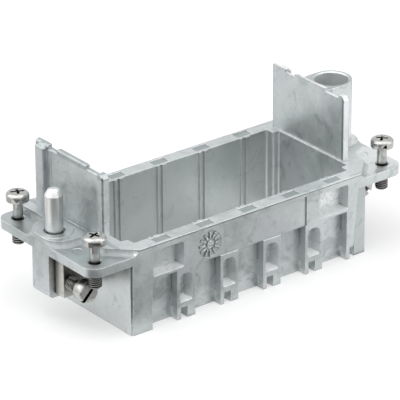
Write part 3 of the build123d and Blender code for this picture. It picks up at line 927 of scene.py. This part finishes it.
def absorb(target: Mesh, extra: Mesh) -> None:
    """Add one bmesh to another, and free it."""
    mesh = bpy.data.meshes.new("part")
    extra.to_mesh(mesh)
    extra.free()
    target.from_mesh(mesh)
    bpy.data.meshes.remove(mesh)


# The object's pieces


@dataclass(frozen=True)
class PackedPiece:
    """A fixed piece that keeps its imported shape, and gets even shading and a finish."""

    name: str
    node: str
    slot: Slot
    crease: float

    def build(self, frame: dict, finish: Finish) -> Piece:
        """Make the piece from its CAD node.

        Args:
            finish: Material of the piece.

        Returns:
            The piece, which replaces the node.
        """
        bm = bmesh.new()
        bm.from_mesh(frame["nodes"][self.node].data)
        bmesh.ops.remove_doubles(bm, verts=bm.verts, dist=MERGE_GAP)
        piece = to_object(self.name, bm, finish)
        even_shading(piece, self.crease)
        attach(piece, FRAME_BODY)
        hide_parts(self.node)
        return piece


CASTING = PackedPiece("cast_frame", "module_frame", Slot.ZINC, 28.0)
LEFT_TERMINAL = PackedPiece("earth_block_left", "earth_terminal_left", Slot.NICKEL, 50.0)
RIGHT_TERMINAL = PackedPiece("earth_block_right", "earth_terminal_right", Slot.NICKEL, 50.0)


@dataclass
class DateWheel:
    """Raised ring of plain ticks in the round dimple of the front side."""

    centre_x: float = -11.2
    centre_z: float = 14.95
    floor_y: float = -16.6
    rise: float = 0.3
    sink: float = 0.05
    tick_count: int = 12
    tick_inner: float = 1.35
    tick_outer: float = 2.8
    tick_width: float = 0.42
    hub_radius: float = 0.85
    hub_steps: int = 32
    rounding: float = 0.04
    rounded_from: float = 40.0
    crease: float = 60.0

    def tick(self, index: int) -> Mesh:
        """One tick of the ring, sunk a little into the floor."""
        bm = block(self.tick_outer - self.tick_inner, self.tick_width, self.rise + self.sink)
        shift(bm, (self.tick_inner + self.tick_outer) / 2, 0, (self.rise - self.sink) / 2)
        rotate(bm, FULL_TURN * index / self.tick_count)
        return bm

    def build(self, finish: Finish) -> Piece:
        """Make the ticks and the hub as one piece that stands in the casting's dimple.

        Args:
            finish: Material of the ring.

        Returns:
            The piece.
        """
        radius = self.hub_radius
        bm = lathe([(0, -self.sink), (radius, -self.sink), (radius, self.rise), (0, self.rise)],
                   self.hub_steps)
        for index in range(self.tick_count):
            absorb(bm, self.tick(index))
        soften(bm, self.rounding, self.rounded_from)
        rotate(bm, QUARTER_TURN, "X")
        shift(bm, self.centre_x, self.floor_y, self.centre_z)
        piece = to_object("date_wheel", bm, finish)
        even_shading(piece, self.crease)
        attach(piece, FRAME_BODY)
        return piece


@dataclass(frozen=True)
class RecessArm:
    """One tapered arm of a cross recess, with its turn in degrees and its sizes at the top."""

    turn: float
    length: float
    width: float
    depth: float
    margin: float = 0.5
    taper: Triple = (0.6, 0.8, 1.0)

    def cutter(self, top: float) -> Piece:
        """Make the shape that cuts the arm into a head with its top at a level in millimetres."""
        height = self.depth + self.margin
        bm = block(self.length, self.width, height)
        foot = [vert for vert in bm.verts if vert.co.z < 0]
        bmesh.ops.scale(bm, vec=self.taper, verts=foot)
        shift(bm, 0, 0, top + self.margin - height / 2)
        rotate(bm, math.radians(self.turn))
        return to_object("blade", bm)


CROSS_RECESS = (
    RecessArm(0.0, 3.0, 0.66, 1.1),
    RecessArm(90.0, 3.0, 0.66, 1.1),
    RecessArm(0.0, 3.9, 0.62, 0.5),
)


@dataclass
class FixingScrew:
    """Captive pan-head screw with a cross recess, a waisted neck and a short thread."""

    place: str
    x: float
    y: float
    turn: float
    seat: float = 22.22
    head_radius: float = 2.525
    head_height: float = 1.98
    crown: float = 0.8
    crown_radius: float = 1.45
    crown_steps: int = 6
    neck_radius: float = 1.1
    neck_overlap: float = 0.4
    thread_top: float = 15.95
    thread_tip: float = 12.3
    thread_core: float = 1.13
    thread_crest: float = 1.45
    pitch: float = 0.5
    rounded_from: float = 50.0

    def head(self) -> Piece:
        """Make the head with its rounded crown and its cross recess, on the neck."""
        top = self.seat + self.head_height
        side = top - self.crown
        foot = self.thread_top - self.neck_overlap
        outline = [(0, foot), (self.neck_radius, foot), (self.neck_radius, self.seat),
                   (self.head_radius, self.seat), (self.head_radius, side)]
        across = self.head_radius - self.crown_radius
        for part in range(1, self.crown_steps + 1):
            angle = QUARTER_TURN * part / self.crown_steps
            outline.append((self.crown_radius + across * math.cos(angle),
                            side + self.crown * math.sin(angle)))
        outline.append((0, top))
        bm = lathe(outline, SCREW_STEPS)
        soften(bm, SCREW_ROUNDING, self.rounded_from, 3)
        head = to_object("head", bm)
        carve(head, [arm.cutter(top) for arm in CROSS_RECESS])
        return head

    def build(self, finish: Finish) -> Piece:
        """Make the whole screw, and let it stand for its CAD node.

        Args:
            finish: Material of the screw.

        Returns:
            The piece.
        """
        bm = to_bmesh(self.head())
        winding = thread(self.thread_core, self.thread_crest, self.pitch, self.thread_tip, self.thread_top)
        taper_end(winding, self.thread_tip, self.thread_core, 1)
        taper_end(winding, self.thread_top, self.thread_core, -1)
        absorb(bm, winding)
        rotate(bm, math.radians(self.turn))
        shift(bm, self.x, self.y, 0)
        node = "fixing_screw_" + self.place
        piece = to_object("captive_screw_" + self.place, bm, finish)
        shade_by_angle(piece, SCREW_CREASE)
        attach(piece, node)
        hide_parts(node)
        return piece


@dataclass
class GuidePin:
    """Turned guide pin with a coned tip."""

    x: float = -38.15
    y: float = 1.3
    foot: float = 13.5
    collar: float = 19.6
    shank_radius: float = 1.75
    radius: float = 1.95
    shoulder: float = 27.7
    top: float = 29.2
    cone_radius: float = 1.25
    tip_radius: float = 0.65
    tip_height: float = 0.3
    steps: int = 64
    rounding: float = 0.14
    rounded_from: float = 14.0
    crease: float = 30.0

    def build(self, finish: Finish) -> Piece:
        """Make the pin, and let it stand for its CAD node.

        Args:
            finish: Material of the pin.

        Returns:
            The piece.
        """
        outline = [(0, self.foot), (self.shank_radius, self.foot), (self.shank_radius, self.collar),
                   (self.radius, self.collar), (self.radius, self.shoulder),
                   (self.cone_radius, self.top - self.tip_height), (self.tip_radius, self.top),
                   (0, self.top)]
        bm = lathe(outline, self.steps)
        soften(bm, self.rounding, self.rounded_from, 3)
        shift(bm, self.x, self.y, 0)
        piece = to_object("turned_pin", bm, finish)
        shade_by_angle(piece, self.crease)
        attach(piece, FRAME_BODY)
        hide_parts("guide_pin")
        return piece


@dataclass
class EarthScrew:
    """Slotted cheese-head screw that points along Y."""

    side: str
    x: float
    z: float
    seat_y: float
    slot_turn: float
    head_radius: float = 2.4
    head_length: float = 2.6
    chamfer: float = 0.3
    neck_overlap: float = 0.4
    length: float = 9.2
    thread_start: float = 0.1
    core: float = 1.17
    crest: float = 1.5
    pitch: float = 0.5
    slot_width: float = 0.8
    slot_depth: float = 1.1
    rounded_from: float = 30.0

    def head(self) -> Piece:
        """Make the slotted head, which points up from its seat at the origin."""
        radius, top = self.head_radius, self.head_length
        outline = [(0, -self.neck_overlap), (self.core, -self.neck_overlap), (self.core, 0), (radius, 0),
                   (radius, top - self.chamfer), (radius - self.chamfer, top), (0, top)]
        bm = lathe(outline, SCREW_STEPS)
        soften(bm, SCREW_ROUNDING, self.rounded_from, 2)
        head = to_object("head", bm)
        cutter = block(3 * radius, self.slot_width, 2 * self.slot_depth)
        shift(cutter, 0, 0, top)
        carve(head, [to_object("slot", cutter)])
        return head

    def build(self, finish: Finish) -> Piece:
        """Make the screw, and let it stand for its CAD node.

        Args:
            finish: Material of the screw.

        Returns:
            The piece.
        """
        bm = to_bmesh(self.head())
        winding = thread(self.core, self.crest, self.pitch, -self.length, -self.thread_start)
        taper_end(winding, -self.length, self.core, 1)
        absorb(bm, winding)
        rotate(bm, math.radians(self.slot_turn))
        rotate(bm, QUARTER_TURN, "X")
        shift(bm, self.x, self.seat_y, self.z)
        node = "earth_screw_" + self.side
        piece = to_object("slotted_screw_" + self.side, bm, finish)
        shade_by_angle(piece, SCREW_CREASE)
        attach(piece, node)
        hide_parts(node)
        return piece


# Studio


def seen_directly(tree: bpy.types.NodeTree) -> Socket:
    """1 for camera, mirror and glass rays, and 0 for all others."""
    path = tree.nodes.new("ShaderNodeLightPath")
    seen = path.outputs["Is Camera Ray"]
    for ray in ("Is Glossy Ray", "Is Transmission Ray"):
        either = tree.nodes.new("ShaderNodeMath")
        either.operation = "MAXIMUM"
        tree.links.new(seen, either.inputs[0])
        tree.links.new(path.outputs[ray], either.inputs[1])
        seen = either.outputs["Value"]
    return seen


@dataclass(frozen=True)
class Card:
    """A card on the floor that only reflections see, between two corners in millimetres."""

    name: str
    grey: float
    low: Span
    high: Span
    lift: float = 0.5
    fibre: float = 1.2

    def lay(self) -> None:
        """Make the card."""
        bm = bmesh.new()
        bmesh.ops.create_grid(bm, x_segments=1, y_segments=1, size=0.5)
        across = Vector((self.high[0] - self.low[0], self.high[1] - self.low[1], 1 / MM)) * MM
        bmesh.ops.scale(bm, vec=across, verts=bm.verts)
        shift(bm, (self.low[0] + self.high[0]) / 2, (self.low[1] + self.high[1]) / 2, self.lift)
        card = to_object(self.name, bm, self.material())
        card.visible_camera = False
        card.visible_diffuse = False
        card.visible_shadow = False

    def material(self) -> Finish:
        """Dull grey with a faint fibre."""
        graph = Graph(self.name)
        fibre = self.fibre * self.grey
        colour = graph.tint("MIX", graph.noise(Grain(2.0, 2.0)), (self.grey, self.grey, self.grey, 1),
                            (fibre, fibre, fibre, 1))
        graph.shader.inputs["Specular IOR Level"].default_value = 0.0
        return graph.finish(colour, 0.0, DULL)


@dataclass(frozen=True)
class Lamp:
    """A soft square lamp that looks at the object, in metres and watts."""

    name: str
    spot: Triple
    size: float
    power: float
    aim: Triple = (0.0, 0.0, 0.015)

    def hang(self) -> None:
        """Make the lamp."""
        light = bpy.data.lights.new(self.name, "AREA")
        light.shape = "SQUARE"
        light.size = self.size
        light.energy = self.power
        holder = bpy.data.objects.new(self.name, light)
        bpy.context.scene.collection.objects.link(holder)
        holder.location = self.spot
        holder.rotation_euler = (Vector(self.aim) - Vector(self.spot)).to_track_quat("-Z", "Y").to_euler()


CARDS = (
    Card("front_card", 0.1, (-300.0, -300.0), (-14.0, -50.0)),
    Card("right_card", 0.01, (14.0, -160.0), (46.0, -50.0)),
    Card("side_card", 0.22, (-300.0, -50.0), (-60.0, -10.0)),
    Card("grey_card", 0.4, (-60.0, -50.0), (-4.0, -21.0)),
    Card("pale_card", 0.6, (-4.0, -50.0), (26.0, -21.0)),
    Card("back_card", 0.65, (-130.0, 20.0), (-56.0, 90.0)),
    Card("bay_card", 0.75, (-30.0, -13.5), (16.0, 13.5)),
    Card("tower_card", 0.04, (66.0, 24.0), (125.0, 85.0)),
)
LAMPS = (
    Lamp("lamp_top_left", (-0.55, 0.25, 0.7), 1.2, 5.2),
    Lamp("lamp_top", (0.1, -0.25, 0.9), 1.1, 3.6),
    Lamp("lamp_right", (0.6, -0.6, 0.25), 0.8, 1.8),
)


@dataclass
class Studio:
    """Pale floor, white surroundings and soft lamps from the upper left."""

    floor_metres: float = 3.0
    floor_grey: float = 0.7
    floor_unevenness: float = 0.01
    floor_grain: float = 60.0
    floor_lift: float = 0.4
    sky_light: float = 0.42

    def floor(self) -> None:
        """Make the floor, which shows white to the camera and keeps the shadow."""
        bm = bmesh.new()
        bmesh.ops.create_grid(bm, x_segments=1, y_segments=1, size=self.floor_metres / 2)
        to_object("floor", bm, self.floor_material())

    def floor_material(self) -> Finish:
        """Pale floor whose colour is lifted to white for camera, mirror and glass rays."""
        graph = Graph("pale_floor")
        lift = graph.product(seen_directly(graph.tree), self.floor_lift)
        graph.join(lift, graph.shader.inputs["Emission Strength"])
        graph.shader.inputs["Emission Color"].default_value = WHITE
        graph.shader.inputs["Specular IOR Level"].default_value = 0.0
        mottle = graph.spread(graph.noise(Grain(self.floor_grain, 2.0)), 0.3, 0.7,
                              self.floor_grey - self.floor_unevenness, self.floor_grey)
        return graph.finish(graph.grey(mottle), 0.0, DULL)

    def sky(self) -> None:
        """White surroundings for camera, mirror and glass rays, and a gentle fill for the rest."""
        world = bpy.data.worlds.new("studio")
        bpy.context.scene.world = world
        world.use_nodes = True
        tree = world.node_tree
        back = tree.nodes["Background"]
        back.inputs["Color"].default_value = WHITE
        strength = tree.nodes.new("ShaderNodeMapRange")
        strength.inputs["To Min"].default_value = self.sky_light
        strength.inputs["To Max"].default_value = 1.0
        tree.links.new(seen_directly(tree), strength.inputs["Value"])
        tree.links.new(strength.outputs["Result"], back.inputs["Strength"])

    def build(self) -> None:
        """Set up the whole studio."""
        self.floor()
        self.sky()
        for card in CARDS:
            card.lay()
        for lamp in LAMPS:
            lamp.hang()


@dataclass
class PhotoCamera:
    """Camera at the photograph's viewing angle."""

    place: Triple = (-435.412, -556.001, 347.003)
    aim: Triple = (-1.592, -1.089, 16.6)
    roll: float = -0.282
    focal_pixels: float = 3649.2
    frame_pixels: float = 400.0
    sensor: float = 36.0

    def build(self) -> None:
        """Make the camera and give it to the scene."""
        data = bpy.data.cameras.new("camera")
        data.sensor_width = self.sensor
        data.lens = self.focal_pixels * self.sensor / self.frame_pixels
        camera = bpy.data.objects.new("camera", data)
        bpy.context.scene.collection.objects.link(camera)
        camera.location = Vector(self.place) * MM
        look = Vector(self.aim) - Vector(self.place)
        roll = Matrix.Rotation(math.radians(self.roll), 3, "Z")
        camera.rotation_euler = (look.to_track_quat("-Z", "Y").to_matrix() @ roll).to_euler()
        bpy.context.scene.camera = camera


def main() -> None:
    """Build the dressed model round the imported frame."""
    logging.basicConfig(level=logging.INFO, format="%(name)s: %(message)s")
    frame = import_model()
    bpy.context.scene.view_settings.view_transform = "Standard"
    PhotoCamera().build()
    Studio().build()
    zinc = CastZinc().material()
    bright = BRIGHT_PLATE.material()
    turned = TURNED_STEEL.material()
    nickel = NICKEL_PLATE.material()
    terminal = TERMINAL_PLATE.material()
    pieces = [
        CASTING.build(frame, zinc),
        DateWheel().build(ROUGH_ZINC.material()),
        GuidePin().build(turned),
        LEFT_TERMINAL.build(frame, terminal),
        RIGHT_TERMINAL.build(frame, terminal),
        EarthScrew("left", -39.0, 10.2, -9.2, 45.0).build(nickel),
        EarthScrew("right", 39.0, 10.2, -5.25, -45.0).build(nickel),
        FixingScrew("front_left", -38.75, -13.5, 18.0).build(bright),
        FixingScrew("back_left", -38.75, 13.5, -24.0).build(bright),
        FixingScrew("front_right", 38.75, -13.5, 40.0).build(bright),
        FixingScrew("back_right", 38.75, 13.5, 5.0).build(bright),
    ]
    for piece in pieces:
        log.info("%s: %d faces", piece.name, len(piece.data.polygons))


if __name__ == "__main__":
    main()
